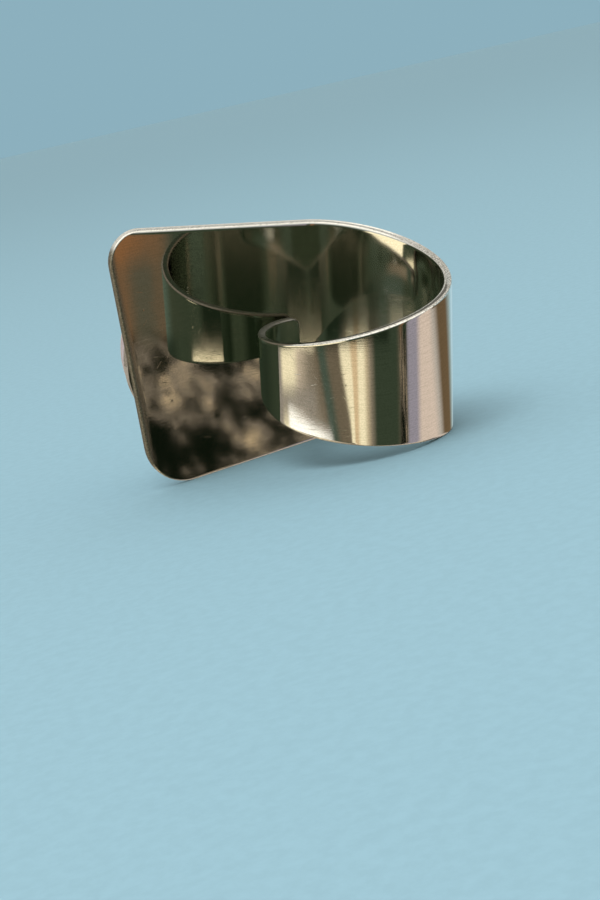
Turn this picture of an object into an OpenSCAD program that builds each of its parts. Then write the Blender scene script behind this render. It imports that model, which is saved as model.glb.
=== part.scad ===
// Moonstone ring, resting on a table as it does by itself.
// One tapered strip of sheet metal makes the whole band. Its wide end stays flat, as a plate,
// and its narrow end curls once round the finger until the tip all but touches the plate again.
// A round moonstone sits in a plain bezel soldered to the outside of the plate.
// The strip is described flat, by how far along it a point lies and how high, and then bent.

/* [Sheet] */
// Thickness of the sheet
sheet_t = 0.7; // [0.65:0.05:0.8]
// Radius of the softened edges of the sheet
edge_r = 0.2; // [0.1:0.05:0.3]

/* [Plate] */
// Length of the flat plate along its upper edge, from its free corner to the first bend
plate_l = 21.6; // [20:0.1:24]
// How far the free edge leans in for each millimetre down
plate_lean = 0.11; // [0:0.01:0.15]
// Radius of the upper corner of the free edge
upper_corner_r = 2.8; // [1:0.1:6]
// Radius of the lower corner of the free edge
lower_corner_r = 5.2; // [1:0.1:6]

/* [Band] */
// Length of the straight tip after the last bend
tip_l = 1.2; // [0.8:0.05:1.5]
// Radius of the two corners of the tip
tip_r = 1.2; // [0.4:0.1:1.6]

/* [Stone] */
// Diameter of the moonstone
stone_d = 16; // [12:0.5:16.5]
// Height of the stone's straight side, up to where its dome starts
girdle_h = 1; // [0.6:0.1:2]
// Height of the dome above the straight side
dome_h = 7; // [4:0.1:8]
// Distance of the stone's centre from the first bend, along the plate
stone_back = 11.4; // [10.6:0.1:11.5]
// Height of the stone's centre above the middle line of the strip
stone_up = 0.8; // [-1:0.1:2]
// Thickness of the bezel's wall
bezel_t = 0.35; // [0.3:0.05:0.8]
// Height of the bezel above the back of the stone
bezel_h = 1.3; // [0.8:0.1:1.6]
// Space left between the stone and the metal
stone_gap = 0.1; // [0.05:0.01:0.15]

/* [Hidden] */

// The four bends of the strip from the plate to its tip, all to the same hand
RADIUS = 0;
TURN = 1;
bends = [
    // radius, degrees turned
    [8.5, 90],
    [9.6, 90],
    [8.6, 90],
    [8.6, 77.5],
];

// Edges of the flat strip, at distances along it from the first bend
ALONG = 0;
TOP = 1;
BOTTOM = 2;
strip = [
    // along, top edge, bottom edge
    [-plate_l, 15, -12.35],
    [0, 11.3, -12],
    [14.1, 8.5, -8.55],
    [29, 6.9, -5.4],
    [43.2, 3.9, -3.5],
    [55.9, 1.85, -1.25],
];

// Steps along the loop, round each corner, round each softened edge and up the dome
loop_steps = 60;
corner_steps = 6;
edge_steps = 3;
dome_steps = 16;

function sum(list, i = 0) = i == len(list) ? 0 : list[i] + sum(list, i + 1);
function bend_length(i) = bends[i][RADIUS] * bends[i][TURN] * PI / 180;
strip_end = sum([for (i = [0:len(bends) - 1]) bend_length(i)]) + tip_l;

// Height of one edge of the strip, and its slope, as a smooth curve through the rows.
// The plate's edges are straight, and the curve leaves the plate in line with them.
function rise(edge, i) =
    (strip[i + 1][edge] - strip[i][edge]) / (strip[i + 1][ALONG] - strip[i][ALONG]);
function row_slope(edge, i) =
    i <= 1 ? rise(edge, 0) :
    i == len(strip) - 1 ? rise(edge, i - 1) :
    (strip[i + 1][edge] - strip[i - 1][edge]) / (strip[i + 1][ALONG] - strip[i - 1][ALONG]);
function row_before(along, i = 0) =
    i == len(strip) - 2 || along < strip[i + 1][ALONG] ? i : row_before(along, i + 1);
function edge_height(edge, along) =
    let (i = row_before(along))
    let (span = strip[i + 1][ALONG] - strip[i][ALONG])
    let (t = (along - strip[i][ALONG]) / span)
    (2 * t^3 - 3 * t^2 + 1) * strip[i][edge]
    + (t^3 - 2 * t^2 + t) * span * row_slope(edge, i)
    + (3 * t^2 - 2 * t^3) * strip[i + 1][edge]
    + (t^3 - t^2) * span * row_slope(edge, i + 1);
slope_reach = 0.01;
function edge_slope(edge, along) =
    (edge_height(edge, along + slope_reach) - edge_height(edge, along - slope_reach))
    / (2 * slope_reach);

// Corners of the flat strip before they are rounded, each with its two directions
function unit(v) = v / norm(v);
plate_top = [-plate_l, strip[0][TOP]];
plate_h = strip[0][TOP] - strip[0][BOTTOM];
plate_foot_x = -plate_l + plate_lean * plate_h;
plate_foot = [plate_foot_x, edge_height(BOTTOM, plate_foot_x)];
free_edge = unit(plate_foot - plate_top);
function along_edge(edge, along) = unit([1, edge_slope(edge, along)]);

// Points of a rounded corner at v between directions a and b, drawn in by inset.
// The arc's normals run from angle from_a to angle to_a.
function corner(v, a, b, r, from_a, to_a, inset) =
    let (middle = v + r * (a + b) / abs(cross(a, b)))
    [for (i = [0:corner_steps])
        let (turn = from_a + (to_a - from_a) * i / corner_steps)
        middle + (r - inset) * [cos(turn), sin(turn)]];

// One long edge of the flat strip from the free corner to the tip, drawn in by inset.
// side is 1 for the top edge and -1 for the bottom edge.
free_normal = 180 + atan(plate_lean);
function edge_normal(side, slope) = side * 90 + atan(slope);
function plate_corner(side, inset) =
    let (edge = side > 0 ? TOP : BOTTOM)
    let (v = side > 0 ? plate_top : plate_foot)
    let (normal = edge_normal(side, edge_slope(edge, -1)))
    corner(v, side * free_edge, along_edge(edge, -1), side > 0 ? upper_corner_r : lower_corner_r,
        free_normal, side > 0 ? normal : normal + 360, inset);
function tip_corner(side, inset) =
    let (edge = side > 0 ? TOP : BOTTOM)
    let (normal = edge_normal(side, edge_slope(edge, strip_end)))
    corner([strip_end, edge_height(edge, strip_end)], -along_edge(edge, strip_end), [0, -side],
        tip_r, normal, 0, inset);
function long_edge(side, inset) =
    let (edge = side > 0 ? TOP : BOTTOM)
    concat(
        plate_corner(side, inset),
        [for (i = [0:loop_steps])
            let (along = (strip_end - 1.5 * tip_r) * i / loop_steps)
            [along, edge_height(edge, along) - side * inset * norm([1, edge_slope(edge, along)])]],
        tip_corner(side, inset));

// Layers through the thickness: distance from the middle of the sheet, and how far in the edge is
flat_half = sheet_t / 2 - edge_r;
layers = [for (side = [-1, 1], i = [0:edge_steps])
    let (turn = 90 * (side < 0 ? i : edge_steps - i) / edge_steps)
    [side * (flat_half + edge_r * cos(turn)), edge_r * (1 - sin(turn))]];

// Where the middle line of the strip lies in plan, and its heading, a distance along it
function walk(along, i = 0, at = [0, 0], heading = 0) =
    along <= 0 || i == len(bends) ? [at + along * [cos(heading), sin(heading)], heading] :
    let (r = bends[i][RADIUS])
    let (part = min(along, bend_length(i)))
    let (turned = heading - part / r * 180 / PI)
    let (middle = at + r * [sin(heading), -cos(heading)])
    walk(along - part, i + 1, middle + r * [-sin(turned), cos(turned)], turned);
function bent(p, out) =
    let (place = walk(p[0]))
    let (xy = place[0] + out * [-sin(place[1]), cos(place[1])])
    [xy[0], xy[1], p[1]];

edge_count = len(long_edge(1, 0));
strip_points = [for (layer = layers, side = [1, -1], p = long_edge(side, layer[1]))
    bent(p, layer[0])];

// The ring rests on the lower edge of its plate and on the lowest part of the loop's edge.
// Both edges are round with the same radius, so their centre lines give the angle between them.
level = atan(edge_slope(BOTTOM, -1));
function levelled(p) =
    [p[0] * cos(level) + p[2] * sin(level), p[1], p[2] * cos(level) - p[0] * sin(level)];
foot = levelled([0, -flat_half, edge_height(BOTTOM, 0) + edge_r * norm([1, edge_slope(BOTTOM, -1)])]);
rim = [for (side = [-1, 1], p = long_edge(-1, edge_r)) levelled(bent(p, side * flat_half))];
tilt = min([for (p = rim) if (foot[1] - p[1] > sheet_t) atan2(p[2] - foot[2], foot[1] - p[1])]);
function rested(p) =
    let (q = levelled(p))
    [q[0], q[1] * cos(tilt) - q[2] * sin(tilt), q[1] * sin(tilt) + q[2] * cos(tilt)];

// The dome's side view is half an ellipse, and it is the furthest part of the ring on that side
stone_seat = sheet_t / 2 + stone_gap;
dome_start = [-stone_back, stone_seat + girdle_h, stone_up];
dome_reach = norm([stone_d / 2 * sin(tilt), dome_h * cos(tilt)]);
rest_points = [for (p = strip_points) rested(p)];
function column(list, i) = [for (p = list) p[i]];
x_middle = (min(column(rest_points, 0)) + max(column(rest_points, 0))) / 2;
y_middle = (min(column(rest_points, 1)) + rested(dome_start)[1] + dome_reach) / 2;
floor_z = min(column(rest_points, 2));

module at_rest() {
    translate([-x_middle, -y_middle, -floor_z])
        rotate([tilt, 0, 0])
            rotate([0, level, 0])
                children();
}

module on_plate() {
    translate([-stone_back, 0, stone_up])
        rotate([-90, 0, 0])
            children();
}

module sheet() {
    layer_size = 2 * edge_count;
    last = (len(layers) - 1) * layer_size;
    // Round the outline: out along the top edge and back along the bottom edge
    outline = concat([for (k = [0:edge_count - 1]) k], [for (k = [edge_count - 1:-1:0]) edge_count + k]);
    inner_face = [for (k = [0:edge_count - 2], half = [0, 1])
        half == 0 ? [k, k + 1, edge_count + k + 1] : [k, edge_count + k + 1, edge_count + k]];
    outer_face = [for (tri = inner_face) [last + tri[0], last + tri[2], last + tri[1]]];
    rim_faces = [for (j = [0:len(layers) - 2], k = [0:layer_size - 1], half = [0, 1])
        let (a = j * layer_size + outline[k])
        let (b = j * layer_size + outline[(k + 1) % layer_size])
        half == 0 ? [a, a + layer_size, b + layer_size] : [a, b + layer_size, b]];
    polyhedron(strip_points, concat(inner_face, outer_face, rim_faces), convexity = 6);
}

// A thin collar round the stone, sunk into the sheet where it is soldered, with its rim bevelled
module bezel() {
    inner = stone_d / 2 + stone_gap;
    outer = inner + bezel_t;
    top = stone_seat + bezel_h;
    bevel = bezel_t / 2;
    rotate_extrude($fn = 96)
        polygon([
            [inner, 0],
            [outer, 0],
            [outer, top - bevel],
            [outer - bevel, top],
            [inner, top],
        ]);
}

module ring_band() {
    color([0.62, 0.6, 0.57])
        at_rest()
            union() {
                sheet();
                on_plate() bezel();
            }
}

module moonstone() {
    dome = [for (i = [0:dome_steps])
        let (turn = 90 * i / dome_steps)
        [stone_d / 2 * cos(turn), girdle_h + dome_h * sin(turn)]];
    color([0.93, 0.89, 0.88])
        at_rest()
            on_plate()
                translate([0, 0, stone_seat])
                    rotate_extrude($fn = 96)
                        polygon(concat([[0, 0], [stone_d / 2, 0]], dome));
}

ring_band();
moonstone();
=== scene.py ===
import math
import bmesh
import bpy
from mathutils import Matrix, Vector


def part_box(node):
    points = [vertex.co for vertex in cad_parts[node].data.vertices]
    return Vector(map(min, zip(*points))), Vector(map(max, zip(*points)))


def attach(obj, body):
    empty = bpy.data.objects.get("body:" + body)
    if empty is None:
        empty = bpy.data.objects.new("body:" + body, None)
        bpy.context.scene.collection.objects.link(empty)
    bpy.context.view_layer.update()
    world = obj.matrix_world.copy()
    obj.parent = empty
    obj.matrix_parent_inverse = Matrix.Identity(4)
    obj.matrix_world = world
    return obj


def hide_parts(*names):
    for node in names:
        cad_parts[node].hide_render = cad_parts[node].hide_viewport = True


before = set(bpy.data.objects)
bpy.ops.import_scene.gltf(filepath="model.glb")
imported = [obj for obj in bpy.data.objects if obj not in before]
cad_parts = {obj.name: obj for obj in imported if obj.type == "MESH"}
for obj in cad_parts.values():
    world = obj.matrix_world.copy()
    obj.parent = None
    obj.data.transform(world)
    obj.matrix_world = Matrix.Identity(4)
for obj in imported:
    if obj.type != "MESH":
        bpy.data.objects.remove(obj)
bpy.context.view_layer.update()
print("frame loaded")

metresPerMm = 0.001
uvUnit = 10.0  # millimetres to one unit of the strip's UV maps
closeEnough = 1e-4  # millimetres between two places that count as one
sharpTurn = math.radians(40)  # an edge that turns further than this stays sharp


class Wire:
    # one socket of a node tree; arithmetic on wires adds the Math nodes for it
    def __init__(self, maker, socket):
        self.maker, self.socket = maker, socket

    def math(self, operation, *others):
        return self.maker.node("ShaderNodeMath", {"operation": operation}, (self,) + others)

    def of(self, output):  # another output of the same node
        return Wire(self.maker, self.socket.node.outputs[output])

    def __add__(self, other):
        return self.math("ADD", other)

    def __sub__(self, other):
        return self.math("SUBTRACT", other)

    def __rsub__(self, other):
        return self.maker.node("ShaderNodeMath", {"operation": "SUBTRACT"}, (other, self))

    def __mul__(self, other):
        return self.math("MULTIPLY", other)

    def __truediv__(self, other):
        return self.math("DIVIDE", other)

    def __pow__(self, other):
        return self.math("POWER", other)

    __radd__, __rmul__ = __add__, __mul__


class NodeMaker:
    # builds the nodes of one material or world
    def __init__(self, owner):
        owner.use_nodes = True
        self.tree = owner.node_tree
        self.tree.nodes.clear()

    def node(self, kind, settings=None, values=None):
        made = self.tree.nodes.new(kind)
        for name, value in (settings or {}).items():
            if name == "stops":
                self.fillRamp(made.color_ramp, value)
            else:
                setattr(made, name, value)
        pairs = values.items() if isinstance(values, dict) else enumerate(values or ())
        for key, value in pairs:
            if isinstance(value, Wire):
                self.tree.links.new(value.socket, made.inputs[key])
            else:
                made.inputs[key].default_value = value
        return Wire(self, made.outputs[0]) if made.outputs else made

    def fillRamp(self, ramp, stops):
        while len(ramp.elements) < len(stops):
            ramp.elements.new(1)
        for element, (position, colour) in zip(ramp.elements, stops):
            element.position = position
            element.color = opaque(colour)

    def mixColour(self, factor, first, second):
        settings = {"data_type": "RGBA", "clamp_factor": True}
        return self.node("ShaderNodeMix", settings, {0: factor, 6: first, 7: second}).of(2)

    def stretch(self, vector, scale):
        return self.node("ShaderNodeVectorMath", {"operation": "MULTIPLY"}, (vector, scale))

    def split(self, vector):  # its X; of("Y") gives the other part
        return self.node("ShaderNodeSeparateXYZ", None, (vector,))

    def attribute(self, name):
        return self.node("ShaderNodeAttribute", {"attribute_name": name}).of("Fac")

    def noise(self, vector, scale, detail, roughness):
        values = {"Vector": vector, "Scale": scale, "Detail": detail, "Roughness": roughness}
        return self.node("ShaderNodeTexNoise", None, values)

    def ease(self, value, low, high):  # 0 at low, 1 at high, smooth between
        settings = {"interpolation_type": "SMOOTHSTEP", "clamp": True}
        values = {"Value": value, "From Min": low, "From Max": high}
        return self.node("ShaderNodeMapRange", settings, values)

    def between(self, value, start, full, last, end):
        # rises from start to full, and falls from last to end
        return self.ease(value, start, full) * self.ease(value, end, last)

    def bump(self, height):  # height in millimetres
        values = {"Strength": 1.0, "Distance": metresPerMm, "Height": height}
        return self.node("ShaderNodeBump", None, values)

    def finish(self, shader):
        self.node("ShaderNodeOutputMaterial", None, {"Surface": shader})


def opaque(colour):
    return (*colour, 1)


def newMaterial(name):
    material = bpy.data.materials.new(name)
    return material, NodeMaker(material)


def asMesh(name, shape):
    data = bpy.data.meshes.new(name)
    shape.to_mesh(data)
    shape.free()
    return data


def addObject(name, data):
    made = bpy.data.objects.new(name, data)
    bpy.context.scene.collection.objects.link(made)
    return made


# Shapes are made in millimetres first, as the ring's maker would measure them
band = {
    "sheet": 0.7,  # thickness
    "edge": 0.2,  # radius of the softened edges
    "edgeSteps": 5,
    "plate": 21.6,  # length along the plate's upper edge
    "lean": 0.11,  # how far the free edge leans in for each millimetre down
    "upperCorner": 2.8,
    "lowerCorner": 5.2,
    "cornerSteps": 12,
    "tip": 1.2,  # straight end after the last bend
    "tipCorner": 1.2,
    "loopSteps": 200,
    # radius and turn of each bend, from the plate to the tip
    "bends": ((8.5, 90), (9.6, 90), (8.6, 90), (8.6, 77.5)),
    "rows": (  # distance along the strip, top edge, bottom edge
        (-21.6, 15.0, -12.35),
        (0.0, 11.3, -12.0),
        (14.1, 8.5, -8.55),
        (29.0, 6.9, -5.4),
        (43.2, 3.9, -3.5),
        (55.9, 1.85, -1.25),
    ),
    "level": 0.928,  # degrees that bring the plate's lower edge level
    "tilt": 17.796,  # degrees that the ring leans over at rest
}
bezel = {
    "wall": 0.35,
    "height": 1.3,
    "sunk": 0.2,  # how far its foot reaches into the sheet
    "solder": 0.28,  # radius of the solder line along its foot
    "solderSteps": 5,
    # its rim: away from the outer face and down from the top, then away from the inner face and
    # down; the rubbed-over lip leans in past the inner face
    "outerRim": ((0, 0.32), (0.02, 0.2), (0.08, 0.07)),
    "innerRim": ((0.12, 0), (0, -0.01), (-0.08, 0.02), (-0.08, 0.08), (0, 0.3)),
}
stone = {
    "back": 11.4,  # from the first bend, along the plate
    "up": 0.8,
    "gap": 0.1,  # to the metal
    "radius": 8.0,
    "girdle": 1.0,  # height of its straight side
    "dome": 7.0,
    "domeSteps": 24,
    "bevel": 0.25,  # of its lower edge, and how far in the bevel's middle lies
    "bevelMiddle": 0.07,
    "turns": 128,
    "body": (0.62, 0.47, 0.48),
    "depths": (0.46, 0.33, 0.35),
    "cloudScale": 260,
    "cloudHeight": 0.004,  # heights in millimetres
    "sheetTone": (0.74, 0.68, 0.67),
    "sheetScale": (300, 2600, 1500),
    # painted sheen: a blue glow painted into the stone's colour
    "paintedSheen": (0.60, 0.70, 0.84),
    "crackTone": (0.55, 0.50, 0.50),
    "crackScale": 420.0,
    "crackDepth": 0.002,
    "fineScale": 4200,
    "fineHeight": 0.0004,
}

stripEnd = sum(radius * math.radians(turn) for radius, turn in band["bends"]) + band["tip"]


def edgeHeight(edge, along):
    # smooth curve through the rows; edge 1 is the top one and edge 2 the bottom one
    rows = band["rows"]
    rise = [(b[edge] - a[edge]) / (b[0] - a[0]) for a, b in zip(rows, rows[1:])]
    slopes = [rise[0], rise[0]] + [
        (c[edge] - a[edge]) / (c[0] - a[0]) for a, c in zip(rows[1:], rows[3:])] + [rise[-1]]
    i = max(k for k in range(len(rows) - 1) if k == 0 or along >= rows[k][0])
    span = rows[i + 1][0] - rows[i][0]
    t = (along - rows[i][0]) / span
    return (
        (2 * t**3 - 3 * t**2 + 1) * rows[i][edge] + (t**3 - 2 * t**2 + t) * span * slopes[i]
        + (3 * t**2 - 2 * t**3) * rows[i + 1][edge] + (t**3 - t**2) * span * slopes[i + 1])


def edgeDirection(edge, along, step=0.01):
    rise = edgeHeight(edge, along + step) - edgeHeight(edge, along - step)
    return Vector((2 * step, rise)).normalized()


def roundCorner(point, first, second, radius, start, end):
    # arc that rounds the corner at point between two directions, its normals from start to end
    middle = point + radius * (first + second) / abs(first.cross(second))
    steps = band["cornerSteps"]
    angles = [start + (end - start) * i / steps for i in range(steps + 1)]
    return [middle + radius * Vector((math.cos(a), math.sin(a))) for a in angles]


def longEdge(side):
    # one long edge of the flat strip, from the plate's free corner to the tip; side is 1 or -1
    edge = 1 if side > 0 else 2
    plateTop = Vector((-band["plate"], band["rows"][0][1]))
    footAlong = -band["plate"] + band["lean"] * (band["rows"][0][1] - band["rows"][0][2])
    plateFoot = Vector((footAlong, edgeHeight(2, footAlong)))
    down = (plateFoot - plateTop).normalized()
    corner = plateTop if side > 0 else plateFoot
    radius = band["upperCorner"] if side > 0 else band["lowerCorner"]
    ahead = edgeDirection(edge, -1)  # the plate's edges are straight, so any place on it will do
    freeNormal = math.pi + math.atan(band["lean"])
    normal = math.atan2(ahead.y, ahead.x) + (0.5 if side > 0 else 1.5) * math.pi
    points = roundCorner(corner, side * down, ahead, radius, freeNormal, normal)
    loopEnd = stripEnd - 1.5 * band["tipCorner"]  # stops short of the tip's rounded corner
    for i in range(band["loopSteps"] + 1):
        along = loopEnd * i / band["loopSteps"]
        points.append(Vector((along, edgeHeight(edge, along))))
    ahead = edgeDirection(edge, stripEnd)
    normal = math.atan2(ahead.y, ahead.x) + side * 0.5 * math.pi
    corner = Vector((stripEnd, edgeHeight(edge, stripEnd)))
    return points + roundCorner(corner, -ahead, Vector((0, -side)), band["tipCorner"], normal, 0)


def flatStrip():
    shape = bmesh.new()
    top, bottom = longEdge(1), longEdge(-1)
    last = len(top) - 1
    bmesh.ops.create_grid(shape, x_segments=last, y_segments=1, size=1)
    for vert in shape.verts:
        point = (top if vert.co.y > 0 else bottom)[round((vert.co.x + 1) / 2 * last)]
        vert.co = (point.x, 0, point.y)
    shape.normal_update()
    bmesh.ops.solidify(shape, geom=shape.faces[:], thickness=band["sheet"])
    depths = [vert.co.y for vert in shape.verts]
    bmesh.ops.translate(shape, verts=shape.verts[:], vec=(0, -(min(depths) + max(depths)) / 2, 0))
    bmesh.ops.recalc_face_normals(shape, faces=shape.faces[:])
    rim = [edge for edge in shape.edges if edge.calc_face_angle(0) > sharpTurn]
    bmesh.ops.bevel(shape, geom=rim, offset=band["edge"], offset_type="OFFSET", affect="EDGES",
                    segments=band["edgeSteps"], profile=0.5, material=-1, clamp_overlap=False)
    return shape


def walk(along):
    # where the middle of the sheet lies in plan at a distance along it, and its heading
    x, y, heading = 0.0, 0.0, 0.0
    for radius, turn in band["bends"]:
        part = min(along, radius * math.radians(turn))
        if part <= 0:
            break
        turned = heading - part / radius
        x += radius * (math.sin(heading) - math.sin(turned))
        y += radius * (math.cos(turned) - math.cos(heading))
        heading = turned
        along -= part
    return x + along * math.cos(heading), y + along * math.sin(heading), heading


def bendStrip(shape):
    # rolls the flat strip; y is the distance out of its middle
    for vert in shape.verts:
        along, out, height = vert.co
        x, y, heading = walk(along)
        vert.co = (x - out * math.sin(heading), y + out * math.cos(heading), height)


def lathe(shape, profile, turns):
    # spins a profile of (radius, height) points about the z axis; returns the faces it made
    keptFaces, keptVerts = set(shape.faces), set(shape.verts)
    verts = [shape.verts.new((radius, 0, height)) for radius, height in profile]
    # a profile that starts on the axis ends there too and stays open
    closing = verts[:1] if profile[0][0] > 0 else []
    edges = [shape.edges.new(pair) for pair in zip(verts, verts[1:] + closing)]
    bmesh.ops.spin(shape, geom=verts + edges, cent=(0, 0, 0), axis=(0, 0, 1), dvec=(0, 0, 0),
                   angle=2 * math.pi, steps=turns, use_merge=True)
    spun = [vert for vert in shape.verts if vert not in keptVerts]
    bmesh.ops.remove_doubles(shape, verts=spun, dist=closeEnough)
    faces = [face for face in shape.faces if face not in keptFaces]
    bmesh.ops.recalc_face_normals(shape, faces=faces)
    return faces


def bezelProfile():
    # a thin collar, its foot soldered to the sheet and its lip rubbed in over the stone
    inner = stone["radius"] + stone["gap"]
    outer = inner + bezel["wall"]
    foot = band["sheet"] / 2
    top = foot + stone["gap"] + bezel["height"]
    solder, steps = bezel["solder"], bezel["solderSteps"]
    profile = [(inner, foot - bezel["sunk"]), (outer + solder, foot - bezel["sunk"])]
    for i in range(steps + 1):
        angle = math.pi / 2 * i / steps
        away, up = solder * (1 - math.sin(angle)), solder * (1 - math.cos(angle))
        profile.append((outer + away, foot + up))
    profile += [(outer - away, top - down) for away, down in bezel["outerRim"]]
    profile += [(inner + away, top - down) for away, down in bezel["innerRim"]]
    return profile


onPlate = (Matrix.Translation((-stone["back"], 0, stone["up"]))
           @ Matrix.Rotation(math.radians(-90), 4, "X"))
leaning = (Matrix.Rotation(math.radians(band["tilt"]), 4, "X")
           @ Matrix.Rotation(math.radians(band["level"]), 4, "Y"))


def finishPiece(name, shape, place, material):
    bmesh.ops.transform(shape, matrix=place, verts=shape.verts[:])
    for face in shape.faces:
        face.smooth = True
    for edge in shape.edges:
        edge.smooth = edge.calc_face_angle(0) < sharpTurn
    piece = addObject(name, asMesh(name, shape))
    piece.data.materials.append(material)
    weighted = piece.modifiers.new("faceWeighted", "WEIGHTED_NORMAL")
    weighted.mode, weighted.weight, weighted.keep_sharp = "FACE_AREA", 80, True
    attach(piece, "root")
    return piece


# The polish of the strip and its bezel. Heights, depths and widths are in millimetres. A scale
# counts to the metre or, where it has three parts, along and across the strip to ten millimetres.
# A reach tells where along the strip something begins and is full, and after that is last full
# and ends, in units of the strip's map.
steel = {
    "clean": (0.63, 0.61, 0.58),
    "worn": (0.16, 0.15, 0.125),
    "hairTone": (0.40, 0.41, 0.36),
    "polish": 0.022,  # roughness where the polish is best
    "wave": 0.004,  # slow waves left by hammer and wheel
    "waveScale": 210,
    "ripple": 0.005,  # waves along the loop that bend what it mirrors
    "rippleScale": (3.2, 0.8, 1),
    "hair": 0.0002,  # polishing hairlines along the strip
    "hairScale": (5, 130, 1),
    "fuzzScale": (4, 80, 1),  # streaks beside them that differ in tone and gloss alone
    "blotchScale": 480,
    "grainScale": 6500,
    "scratch": 0.0004,
    "scratchScale": (7, 110, 1),
    "scratches": ((0.25, 0.982), (-0.9, 0.99)),  # angle of each kind, and how rare it is
    "pit": 0.002,
    "pitScale": 1400.0,
    "border": 0.9,  # width of the worn border along the free edge, and its slope at the edge
    "borderSlope": 0.035,
    "borderWear": (0.85, 0.2),  # distances from the edge where the wear ends and is full
    "rim": 0.32,  # width of the polished-over border along the long edges, and its slopes
    "rimSlope": 0.2,
    "innerRimSlope": 0.45,
    "roll": 0.55,  # on the plate's inside that border is wider and rounder still
    "rollSlope": 0.55,
    "rollReach": (3.4, 2.4),  # it ends at the first and is full up to the second
    "flare": 3.2,  # height over which the wall flares beside the first bend
    "flareSlope": 0.07,
    "flareReach": (0.35, 0.8, 1.05, 1.5),
    "rubbedReach": (0.9, 1.5, 2.2, 3.0),  # where the rim is rubbed darkest
    "foldReach": (4.2, 4.7),  # from here on the rim has lost its polish
}


def scratchLines(make, strip):
    # a few long narrow cells out of many, lying at two angles
    lines = 0.0
    for turn, rare in steel["scratches"]:
        slanted = make.node("ShaderNodeVectorRotate", {"rotation_type": "Z_AXIS"},
                            {"Vector": strip, "Angle": turn})
        dashes = make.node("ShaderNodeTexVoronoi", {"voronoi_dimensions": "2D"},
                           {"Vector": make.stretch(slanted, steel["scratchScale"]), "Scale": 1.0})
        luck = make.node("ShaderNodeSeparateColor", None, (dashes.of("Color"),))
        lines = make.ease(dashes, 0.34, 0.1) * make.ease(luck, rare, rare + 0.01) + lines
    return lines


def smallPits(make, solid):
    cells = make.node("ShaderNodeTexVoronoi", {"feature": "F1"},
                      {"Vector": solid, "Scale": steel["pitScale"]})
    luck = make.node("ShaderNodeSeparateColor", None, (cells.of("Color"),))
    return make.ease(cells, 0.18, 0.05) * make.ease(luck, 0.965, 0.975)


def fallen(distance, width, slope):
    # how far a rounded-over border lies below the face, at a distance from its edge
    return (width - distance).math("MAXIMUM", 0.0) ** 2 * (slope / (2 * width))


def polishedSteel():
    material, make = newMaterial("polishedSteel")
    strip = make.node("ShaderNodeUVMap", {"uv_map": "strip"})
    solid = make.node("ShaderNodeTexCoord").of("Object")
    softened = make.attribute("softenedEdge")
    inner = make.attribute("innerSide")
    along = make.split(strip)
    # distances in millimetres from the long edges and, square to it, from the free edge
    fromEdges = make.split(make.node("ShaderNodeUVMap", {"uv_map": "edges"}))
    fromTop, fromBottom = fromEdges * uvUnit, fromEdges.of("Y") * uvUnit
    leant = (band["rows"][0][1] - along.of("Y") * uvUnit) * band["lean"]
    fromFree = (along * uvUnit + band["plate"] - leant) * math.cos(math.atan(band["lean"]))
    border = make.ease(fromFree, *steel["borderWear"])
    loop = make.ease(along, 0.0, 0.8)

    def streaks(scale, detail, roughness):
        return make.noise(make.stretch(strip, scale), 1, detail, roughness)

    waves = make.noise(solid, steel["waveScale"], 2, 0.4)
    ripple = streaks(steel["rippleScale"], 2, 0.45)
    hair = streaks(steel["hairScale"], 3, 0.6)
    fuzz = streaks(steel["fuzzScale"], 4, 0.65)
    blotch = make.noise(solid, steel["blotchScale"], 3, 0.55)
    grain = make.noise(solid, steel["grainScale"], 2, 0.6)
    specks = make.ease(grain, 0.54, 0.64)
    lines = scratchLines(make, strip)
    pits = smallPits(make, solid)

    turned = make.between(along, *steel["rubbedReach"])
    rubbed = softened * (specks * 0.34 + turned * make.ease(grain, 0.36, 0.5) * 0.5)
    wear = (border * softened * (make.ease(grain, 0.62, 0.48) * 0.45 + 0.5)
            + border * make.ease(grain, 0.56, 0.42) * 0.45 + rubbed)
    hairy = make.ease(fuzz, 0.4, 0.66) * 0.26 + make.ease(grain, 0.42, 0.62) * 0.26
    colour = make.mixColour(hairy, opaque(steel["clean"]), opaque(steel["hairTone"]))
    colour = make.mixColour(wear, colour, opaque(steel["worn"]))

    dull = (make.ease(fuzz, 0.42, 0.7) * 0.012 + make.ease(blotch, 0.4, 0.75) * 0.006 + lines * 0.08
            + softened * (make.ease(along, *steel["foldReach"]) * 0.22 + 0.1)
            + border * 0.2 + border * softened * 0.2 + loop * (inner * 0.05 + 0.012))

    flared = inner * make.between(along, *steel["flareReach"])
    rolled = inner * make.ease(along, *steel["rollReach"])
    innerRim = inner * (steel["innerRimSlope"] / steel["rimSlope"] - 1) + 1
    height = (waves * steel["wave"] + ripple * loop * steel["ripple"] + hair * steel["hair"]
              - lines * steel["scratch"] - pits * steel["pit"]
              + grain * (border * 0.004 + softened * 0.001 + 0.0001)
              - fallen(fromTop, steel["flare"], steel["flareSlope"]) * flared
              - fallen(fromTop, steel["roll"], steel["rollSlope"]) * rolled
              - fallen(fromTop, steel["rim"], steel["rimSlope"]) * innerRim
              - fallen(fromBottom, steel["rim"], steel["rimSlope"])
              - fallen(fromFree, steel["border"], steel["borderSlope"]))
    make.finish(make.node("ShaderNodeBsdfPrincipled", None, {
        "Base Color": colour, "Metallic": 1.0, "Roughness": dull + steel["polish"],
        "Normal": make.bump(height)}))
    return material


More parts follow.
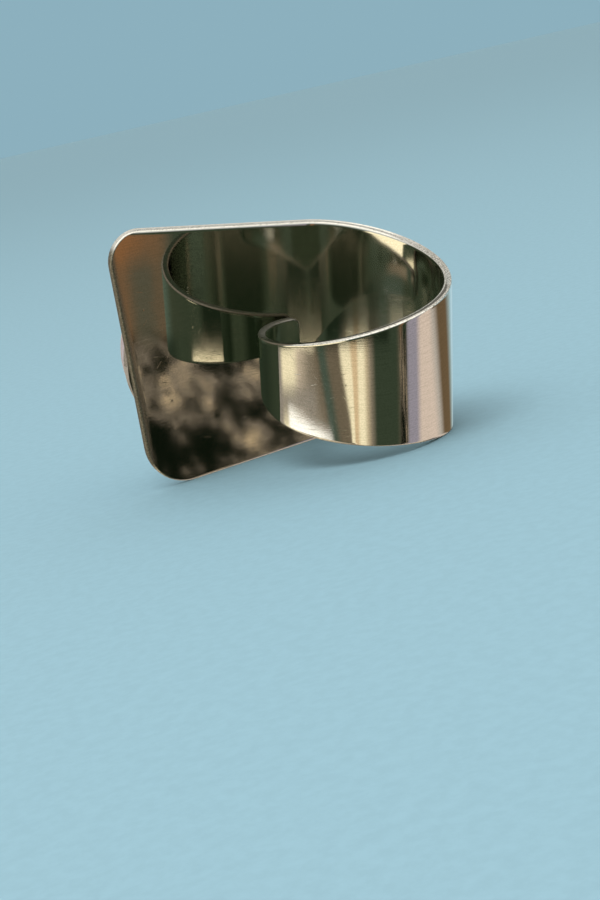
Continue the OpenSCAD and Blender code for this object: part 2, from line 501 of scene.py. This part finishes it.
def makeBand():
    shape = flatStrip()
    stripMap = shape.loops.layers.uv.new("strip")
    edgesMap = shape.loops.layers.uv.new("edges")  # distances from the top and the bottom edge
    softened = shape.verts.layers.float.new("softenedEdge")
    innerSide = shape.verts.layers.float.new("innerSide")
    half = band["sheet"] / 2
    for vert in shape.verts:
        vert[softened] = 0.0 if abs(abs(vert.co.y) - half) < closeEnough else 1.0
        vert[innerSide] = 1.0 if vert.co.y < 0 else 0.0
    for face in shape.faces:
        for corner in face.loops:
            along, height = corner.vert.co.x, corner.vert.co.z
            fromTop, fromBottom = edgeHeight(1, along) - height, height - edgeHeight(2, along)
            corner[stripMap].uv = (along / uvUnit, height / uvUnit)
            corner[edgesMap].uv = (fromTop / uvUnit, fromBottom / uvUnit)
    bendStrip(shape)
    collar = lathe(shape, bezelProfile(), stone["turns"])
    outer = stone["radius"] + stone["gap"] + bezel["wall"]
    for face in collar:
        for corner in face.loops:
            x, y, z = corner.vert.co
            corner[stripMap].uv = (math.atan2(y, x) * outer / uvUnit, z / uvUnit)
            corner[edgesMap].uv = (1, 1)  # far from every edge
    collarVerts = list({vert for face in collar for vert in face.verts})
    bmesh.ops.transform(shape, matrix=onPlate, verts=collarVerts)
    bmesh.ops.transform(shape, matrix=leaning, verts=shape.verts[:])
    low = Vector(min(vert.co[i] for vert in shape.verts) for i in range(3))
    seat = Vector(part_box("ring_band")[0]) - low * metresPerMm
    settle = Matrix.Translation(seat) @ Matrix.Scale(metresPerMm, 4)
    piece = finishPiece("ringBand", shape, settle, polishedSteel())
    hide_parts("ring_band")
    return piece, settle @ leaning @ onPlate


ringBand, stonePlace = makeBand()
print("band bent, bezel soldered on:", len(ringBand.data.polygons), "faces")


def moonstoneMaterial():
    material, make = newMaterial("moonstone")
    solid = make.node("ShaderNodeTexCoord").of("Object")
    # clouds in the body, fine sheets of feldspar, and a painted blue sheen over the middle,
    # strongest where the stone faces the viewer
    clouds = make.noise(solid, stone["cloudScale"], 4, 0.55)
    sheets = make.noise(make.stretch(solid, stone["sheetScale"]), 1, 3, 0.6)
    seen = make.node("ShaderNodeLayerWeight", None, {"Blend": 0.35}).of("Facing")
    # painted sheen: a blue glow mixed into the colour where the surface faces the viewer
    paintedSheen = make.ease(seen, 0.7, 0.1) * make.ease(clouds, 0.3, 0.6) * 0.6
    body = make.mixColour(make.ease(clouds, 0.35, 0.65),
                          opaque(stone["body"]), opaque(stone["depths"]))
    body = make.mixColour(make.ease(sheets, 0.5, 0.7) * 0.3, body, opaque(stone["sheetTone"]))
    body = make.mixColour(paintedSheen, body, opaque(stone["paintedSheen"]))
    cells = make.node("ShaderNodeTexVoronoi", {"feature": "DISTANCE_TO_EDGE"},
                      {"Vector": make.stretch(solid, (1, 0.4, 1)), "Scale": stone["crackScale"]})
    cracks = make.ease(cells, 0.02, 0.0) * make.ease(clouds, 0.52, 0.62)
    body = make.mixColour(cracks * 0.5, body, opaque(stone["crackTone"]))
    fine = make.noise(solid, stone["fineScale"], 2, 0.5)
    height = (clouds * stone["cloudHeight"] + fine * stone["fineHeight"]
              - cracks * stone["crackDepth"])
    make.finish(make.node("ShaderNodeBsdfPrincipled", None, {
        "Base Color": body, "Roughness": make.ease(clouds, 0.3, 0.7) * 0.08 + 0.06, "IOR": 1.52,
        "Subsurface Weight": 0.45, "Subsurface Scale": 0.0025,
        "Subsurface Radius": (1.0, 0.8, 0.75),
        "Coat Weight": 0.3, "Coat Roughness": 0.05, "Normal": make.bump(height)}))
    return material


def makeStone():
    shape = bmesh.new()
    seat = band["sheet"] / 2 + stone["gap"]
    radius, bevel, middle = stone["radius"], stone["bevel"], stone["bevelMiddle"]
    profile = [(0.0, seat), (radius - bevel, seat), (radius - middle, seat + middle),
               (radius, seat + bevel)]
    for i in range(stone["domeSteps"]):
        turn = math.pi / 2 * i / stone["domeSteps"]
        height = seat + stone["girdle"] + stone["dome"] * math.sin(turn)
        profile.append((radius * math.cos(turn), height))
    profile.append((0.0, seat + stone["girdle"] + stone["dome"]))
    lathe(shape, profile, stone["turns"])
    piece = finishPiece("moonstoneCabochon", shape, stonePlace, moonstoneMaterial())
    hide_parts("moonstone")
    return piece


moonstone = makeStone()
print("stone set:", len(moonstone.data.polygons), "faces")


studio = {
    "floorSize": 60.0,
    "floorColour": (0.33, 0.53, 0.61),
    "skyLight": 0.75,  # soft light from all round, for the floor and the stone
    "skyTones": ((0.75, 0.78, 0.8), (1, 1, 1)),  # of that light, from low down and from above
    "haze": (0.55, 0.69, 0.745),  # what lies beyond the floor
    "steelShare": 0.64,  # the cards are written as the steel shows them: this much of their light
}
tints = {
    "dark": (0.21, 0.25, 0.19),
    "olive": (0.32, 0.31, 0.25),
    "teal": (0.28, 0.33, 0.28),
    "umber": (0.42, 0.38, 0.31),
    "taupe": (0.52, 0.48, 0.41),
    "grey": (0.55, 0.52, 0.47),
    "warmGrey": (0.76, 0.70, 0.61),
    "sand": (0.76, 0.70, 0.57),
    "cream": (0.97, 0.92, 0.77),
    "tan": (0.84, 0.74, 0.58),
    "lilac": (0.58, 0.56, 0.60),
    "blush": (0.83, 0.76, 0.70),
    "silver": (0.70, 0.67, 0.63),
    "brown": (0.40, 0.33, 0.24),
    "mist": (0.53, 0.59, 0.58),
    "sky": (0.62, 0.74, 0.78),
    "mistLight": (0.80, 0.81, 0.79),
    "pearl": (0.87, 0.86, 0.83),
    "black": (0.10, 0.14, 0.09),
    "night": (0.15, 0.19, 0.14),
    "pine": (0.23, 0.26, 0.20),
    "rust": (0.51, 0.36, 0.23),
    "ashGrey": (0.46, 0.42, 0.36),
    "white": (1.0, 0.99, 0.95),
}
# Cards that stand round the steel, as an angle round the finger's axis and a tint there
roundCards = (
    (-146, "grey"), (-135, "grey"), (-129, "cream"), (-113, "cream"), (-104, "warmGrey"),
    (-90, "taupe"), (-79, "umber"), (-75, "teal"), (-70, "teal"), (-64, "umber"), (-52, "umber"),
    (-48, "cream"), (-39, "cream"), (-36, "tan"), (-31, "tan"), (-28, "cream"), (-23, "cream"),
    (-19, "sand"), (-14, "taupe"), (-8, "dark"), (18, "dark"), (24, "olive"), (31, "olive"),
    (36, "lilac"), (46, "lilac"), (53, "blush"), (67, "blush"), (78, "silver"), (88, "brown"),
    (107, "brown"), (118, "mist"), (130, "sky"),
)
# Smaller cards: left and right side, softness, lower and upper end as the axis part of the
# direction, softness, tint, strength, rise per degree
nearCards = (
    (-150, -82, 6, -0.414, -0.399, 0.007, "grey", 1, 0),
    (-122, -62, 4, -0.475, -0.443, 0.002, "white", 1.3, 0.00027),
)
topCards = (
    (-125, -45, 6, -0.312, 0.1, 0.012, "cream", 1.25, 0),
    (-112, -82, 4, -0.5, -0.366, 0.0015, "cream", 1, -0.00008),
    (-66, 10, 6, -0.6, -0.355, 0.002, "black", 1, 0),
)
# What the steel shows in its own mirror image, by how often the light was mirrored
secondLow = (
    (-180, "dark"), (-112, "dark"), (-107, "olive"), (-80, "olive"), (-62, "pine"), (-50, "dark"),
    (-35, "dark"), (-12, "night"), (30, "night"), (180, "dark"),
)
secondHigh = (
    (-180, "dark"), (-132, "pine"), (-108, "black"), (-84, "black"), (-74, "dark"), (-20, "pine"),
    (0, "teal"), (56, "teal"), (72, "dark"), (120, "black"), (180, "black"),
)
secondCards = (
    (-108, -60, 4, -0.391, -0.383, 0.0015, "cream", 1.1, 0),
    (-112, -86, 3, -0.374, -0.35, 0.003, "black", 1, 0),
    (-73, -58, 3, -0.336, -0.30, 0.002, "cream", 1.1, 0),
    (-132, -108, 4, -0.342, -0.30, 0.003, "olive", 1, 0),
)
third = (
    (-180, "teal"), (-90, "dark"), (-62, "black"), (-56, "dark"), (-46, "dark"), (-36, "black"),
    (-20, "black"), (-8, "black"), (10, "black"), (24, "dark"), (50, "teal"), (70, "taupe"),
    (160, "taupe"), (180, "teal"),
)
thirdCards = (
    (-61, -47, 3, -0.343, -0.329, 0.003, "umber", 1, 0),
    (-100, 20, 6, -0.3265, -0.30, 0.0015, "olive", 1, 0),
)
fourth = (
    (-180, "pine"), (-95, "pine"), (-60, "teal"), (-30, "teal"), (-20, "dark"), (40, "dark"),
    (70, "teal"), (180, "teal"),
)
fourthCards = (
    (-120, 30, 8, -0.6, -0.356, 0.004, "black", 1, 0),
    (-134, -104, 3, -0.342, -0.329, 0.002, "white", 1.5, 0),
    (-101, -80, 5, -0.341, -0.329, 0.002, "umber", 1, 0),
)
# Where the parts of the room stand, as angles round the finger's axis at which each begins, is
# full, is last full and ends
sides = {
    "leftLean": (-90, -78, -40, -32),  # the round cards lean here
    "rightLean": (62, 74),
    "plateCard": (21, 25, 32, 34),  # seen in the flat plate alone
    "overCards": (-152, -128, 5, 20),
    "behind": (128, 152),  # to both hands
    "ceilingWhite": (-100, -70, 70, 100),
    "dimDark": (0, 8, 46, 54),
    "dimGrey": (14, 6),  # and on to the left
}
# How high they begin and are full, as the axis part of the direction
levels = {
    "overCards": (-0.380, -0.377),
    "secondHigh": (-0.376, -0.367),
    "plateCardTop": (-0.364, -0.352),
    "roomFoot": (-0.2, -0.75),
    "ceiling": (-0.05, 0.25),
    "ceilingClear": (0.3, 0.6),  # below it the ceiling is misty
    "sky": (-0.4, 0.6),
}
lean = {  # of the round cards
    "about": -0.384,  # the level at which they keep their place
    "degrees": 310,  # for each unit of height
    "right": 0.8,  # share of it on the right
}
mottle = {
    "spots": (210, 5, 0.62),  # scale, detail and roughness
    "patches": (70, 1, 0.5),
    "darkStrength": 0.35,
    "ashStrength": 1.25,
    "ashFrom": (0.70, 0.80),
    "tanStrength": 0.75,
    "tanFrom": (0.82, 0.92),
    # shaded patches: levels, sides and depth
    "shades": (((-0.402, -0.424), (29.8, 28.6), 0.14), ((-0.396, -0.384), (28.2, 28.8), 0.1)),
    # the rusty card over it: its top, its side, a broad band and a narrow one
    "rustTop": (-0.340, -0.322),
    "rustSide": (28.2, 26.7),
    "rustBand": (27.0, 26.5),
    "rustLineAt": 27.7,
    "darkSide": (28.0, 28.3),
}


def toLinear(colour, strength=1.0):
    return tuple(strength * ((n + 0.055) / 1.055) ** 2.4 for n in colour)


def tint(name, strength=1.0):
    return opaque(toLinear(tints[name], strength))


def ringOf(make, cards, angle, gain):
    # cards all round that shade into each other
    stops = [((turn + 180) / 360, toLinear(tints[name], gain)) for turn, name in cards]
    return make.node("ShaderNodeValToRGB", {"stops": stops}, (angle / 360 + 0.5,))


def hang(make, colour, cards, around, height, gain):
    # smaller cards in front of what is there
    for left, right, softSide, low, high, softEnd, name, strength, rise in cards:
        level = height + around * rise if rise else height
        across = make.between(around, left - softSide, left + softSide,
                              right - softSide, right + softSide)
        upwards = make.between(level, low - softEnd, low + softEnd, high - softEnd, high + softEnd)
        colour = make.mixColour(across * upwards, colour, tint(name, strength * gain))
    return colour


def mottledCard(make, direction, around, height, gain):
    # dark and mottled, mirrored large in the flat plate, with a rusty card over it
    patches = make.noise(direction, *mottle["patches"])
    spots = make.noise(direction, *mottle["spots"]) + patches * 0.5
    shade = 0.0
    for level, side, depth in mottle["shades"]:
        shade = make.ease(height, *level) * make.ease(around, *side) * depth + shade
    patchy = spots - shade
    card = make.mixColour(make.ease(patchy, *mottle["ashFrom"]),
                          tint("black", mottle["darkStrength"] * gain),
                          tint("ashGrey", mottle["ashStrength"] * gain))
    card = make.mixColour(make.ease(patchy, *mottle["tanFrom"]), card,
                          tint("tan", mottle["tanStrength"] * gain))
    offLine = (around - mottle["rustLineAt"]).math("ABSOLUTE")
    rusty = (make.ease(height, *mottle["rustTop"]) * make.ease(around, *mottle["rustSide"])
             + make.ease(around, *mottle["rustBand"]) * 0.5 + make.ease(offLine, 0.3, 0.1) * 0.25)
    upper = make.mixColour(rusty, tint("olive", gain), tint("rust", gain))
    upper = make.mixColour(make.ease(around, *mottle["darkSide"]), upper, tint("dark", gain))
    return make.mixColour(make.ease(height + spots * 0.02, *levels["plateCardTop"]), card, upper)


def roomBehind(make, direction, height, gain):
    # behind the ring, where only its outside looks: soft warm and cool greys
    cloudy = make.noise(direction, 5, 2, 0.5)
    room = make.mixColour(make.ease(cloudy, 0.42, 0.58), tint("silver", gain), tint("grey", gain))
    return make.mixColour(make.ease(height, *levels["roomFoot"]) * 0.7, room, tint("umber", gain))


def ceilingOver(make, around, height, depth, gain):
    # a white ceiling, pale behind the ring and misty low down, dim when mirrored twice
    white = make.between(around, *sides["ceilingWhite"])
    ceiling = make.mixColour(white, tint("pearl", gain), tint("white", 1.25 * gain))
    clear = make.ease(height, *levels["ceilingClear"])
    ceiling = make.mixColour(clear, tint("mistLight", gain), ceiling)
    dark = make.between(around, *sides["dimDark"])
    dim = make.mixColour(dark, tint("umber", gain), tint("dark", gain))
    grey = make.ease(around, *sides["dimGrey"]) * depth.math("LESS_THAN", 3.5)
    dim = make.mixColour(grey, dim, tint("grey", gain))
    return make.mixColour(depth.math("GREATER_THAN", 2.5), ceiling, dim)


def makeFloor():
    shape = bmesh.new()
    bmesh.ops.create_grid(shape, x_segments=8, y_segments=8, size=studio["floorSize"] / 2)
    material, make = newMaterial("paleFloor")
    grain = make.noise(make.node("ShaderNodeTexCoord").of("Object"), 900, 4, 0.65)
    lighter, darker = (opaque(n * share for n in studio["floorColour"]) for share in (1.03, 0.97))
    make.finish(make.node("ShaderNodeBsdfPrincipled", None, {
        "Base Color": make.mixColour(make.ease(grain, 0.3, 0.7), darker, lighter),
        "Roughness": 0.9, "Specular IOR Level": 0.1}))
    floor = addObject("floor", asMesh("floor", shape))
    floor.data.materials.append(material)
    floor.visible_glossy = False


def makeWorld():
    world = bpy.data.worlds.new("studio")
    bpy.context.scene.world = world
    make = NodeMaker(world)
    direction = make.node("ShaderNodeTexCoord").of("Generated")
    path = make.node("ShaderNodeLightPath")
    depth, glossy = path.of("Ray Depth"), path.of("Is Glossy Ray")
    gain = 1 / studio["steelShare"]

    def partAlong(axis):
        return make.node("ShaderNodeVectorMath", {"operation": "DOT_PRODUCT"},
                         (direction, tuple(axis))).of("Value")

    # the direction's part along the finger's axis, and its angle round that axis in degrees
    axes = leaning.to_3x3().transposed()
    height = partAlong(axes[2])
    around = partAlong(axes[0]).math("ARCTAN2", partAlong(-axes[1])) * (180 / math.pi)

    # round the ring; the cards lean, so that lower down their edges lie further right
    rightLean = make.ease(around, *sides["rightLean"]) * lean["right"]
    leant = make.between(around, *sides["leftLean"]) + rightLean
    slanted = around - (lean["about"] - height) * lean["degrees"] * leant
    near = hang(make, ringOf(make, roundCards, slanted, gain), nearCards, around, height, gain)
    behind = make.ease(around.math("ABSOLUTE"), *sides["behind"])
    near = make.mixColour(behind, near, roomBehind(make, direction, height, gain))
    mottled = mottledCard(make, direction, around, height, gain)
    near = make.mixColour(make.between(around, *sides["plateCard"]), near, mottled)

    # over the tall cards the room is dark, with cards of its own
    top = hang(make, tint("dark", gain), topCards, around, height, gain)
    over = make.ease(height, *levels["overCards"]) * make.between(around, *sides["overCards"])
    mirrored = make.mixColour(over, near, top)

    # the steel in its own mirror image: each further mirroring shows its own cards
    twice = make.mixColour(make.ease(height, *levels["secondHigh"]),
                           ringOf(make, secondLow, around, gain ** 2),
                           ringOf(make, secondHigh, around, gain ** 2))
    thrice = ringOf(make, third, around, gain ** 3)
    fourTimes = ringOf(make, fourth, around, gain ** 4)
    layers = ((2, twice, secondCards), (3, thrice, thirdCards), (4, fourTimes, fourthCards),
              (5, tint("dark", gain ** 4), ()))
    for count, colour, cards in layers:
        layer = hang(make, colour, cards, around, height, gain ** count)
        mirrored = make.mixColour(depth.math("GREATER_THAN", count + 0.5), mirrored, layer)
    ceiling = ceilingOver(make, around, height, depth, gain)
    mirrored = make.mixColour(make.ease(height, *levels["ceiling"]), mirrored, ceiling)

    lowTone, highTone = studio["skyTones"]
    soft = make.mixColour(make.ease(height, *levels["sky"]), opaque(lowTone), opaque(highTone))
    light = make.node("ShaderNodeBackground", None, {
        "Color": make.mixColour(glossy, soft, mirrored),
        "Strength": glossy * (1 - studio["skyLight"]) + studio["skyLight"]})
    haze = make.node("ShaderNodeBackground", None, {
        "Color": opaque(toLinear(studio["haze"])), "Strength": 1.0})
    sky = make.node("ShaderNodeMixShader", None, (path.of("Is Camera Ray"), light, haze))
    make.node("ShaderNodeOutputWorld", None, {"Surface": sky})


softBox = {  # one large lamp, high on the left behind the camera
    "place": (-0.35, -0.30, 0.75),
    "width": 0.5,
    "height": 0.4,
    "power": 3.0,
}


def makeLamp():
    data = bpy.data.lights.new("softBox", "AREA")
    data.shape, data.size, data.size_y = "RECTANGLE", softBox["width"], softBox["height"]
    data.energy = softBox["power"]
    lamp = addObject("softBox", data)
    lamp.location = softBox["place"]
    lamp.rotation_euler = (-lamp.location).to_track_quat("-Z", "Y").to_euler()
    lamp.visible_glossy = False


view = {  # as in the photograph
    "sensor": 36,
    "lens": 76.317,
    "place": (-0.086936, -0.157591, 0.0345),
    "right": (0.836911, -0.501881, -0.218393),
    "ahead": (0.470416, 0.863526, -0.181744),
}


def makeCamera():
    data = bpy.data.cameras.new("camera")
    data.sensor_width, data.lens = view["sensor"], view["lens"]
    data.dof.use_dof = False
    data.clip_start, data.clip_end = 0.01, 100
    camera = addObject("camera", data)
    right = Vector(view["right"]).normalized()
    backward = -Vector(view["ahead"]).normalized()
    up = backward.cross(right).normalized()
    turn = Matrix((right, up, backward)).transposed().to_4x4()
    camera.matrix_world = Matrix.Translation(view["place"]) @ turn
    bpy.context.scene.camera = camera


makeFloor()
makeWorld()
makeLamp()
makeCamera()
bpy.context.scene.view_settings.view_transform = "Standard"
bpy.context.scene.cycles.glossy_bounces = 8
print("studio ready")
